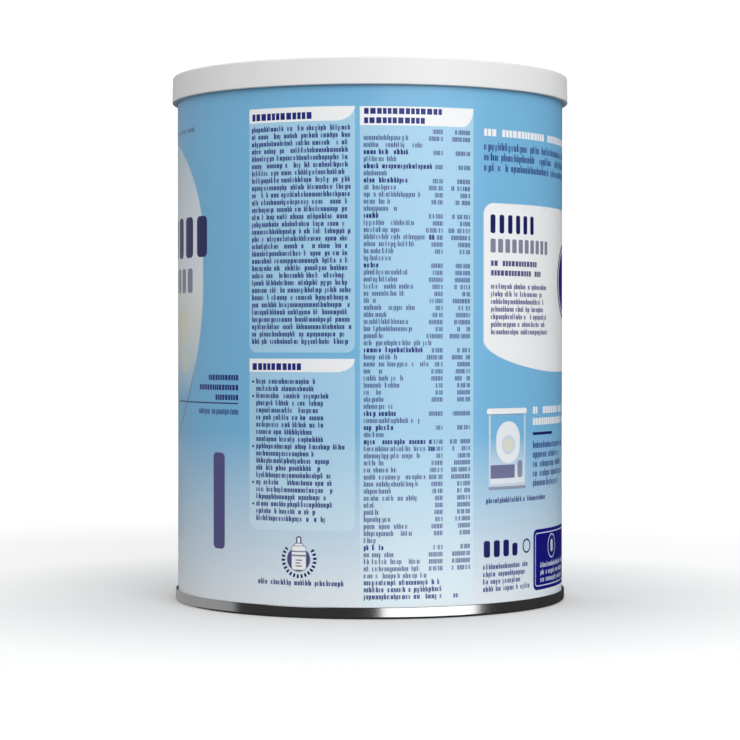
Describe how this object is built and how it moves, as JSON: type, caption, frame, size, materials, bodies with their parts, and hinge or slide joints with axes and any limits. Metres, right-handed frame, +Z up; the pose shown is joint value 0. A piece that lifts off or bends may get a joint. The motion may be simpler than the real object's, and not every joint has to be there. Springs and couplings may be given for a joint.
{
  "type": "milk powder tin",
  "caption": "Tall round steel tin for milk powder, with a printed wall, a rolled bare-metal base seam and a white push-on plastic lid with a sunk top.",
  "frame": {"origin": "centre of the standing ring under the base, on the tin's axis", "axes": "+Z up along the tin's axis, towards the lid; -Y faces the picture's camera"},
  "size_m": [0.1306, 0.1306, 0.1714],
  "materials": {
    "printed_steel": "satin varnished print, pale blue fading to white at the foot",
    "tinplate": "bright bare tinplate",
    "white_plastic": "satin moulded polyethylene"
  },
  "bodies": {
    "root": {"can_body": "printed_steel", "base_end": "tinplate", "lid": "white_plastic"}
  },
  "joints": []
}
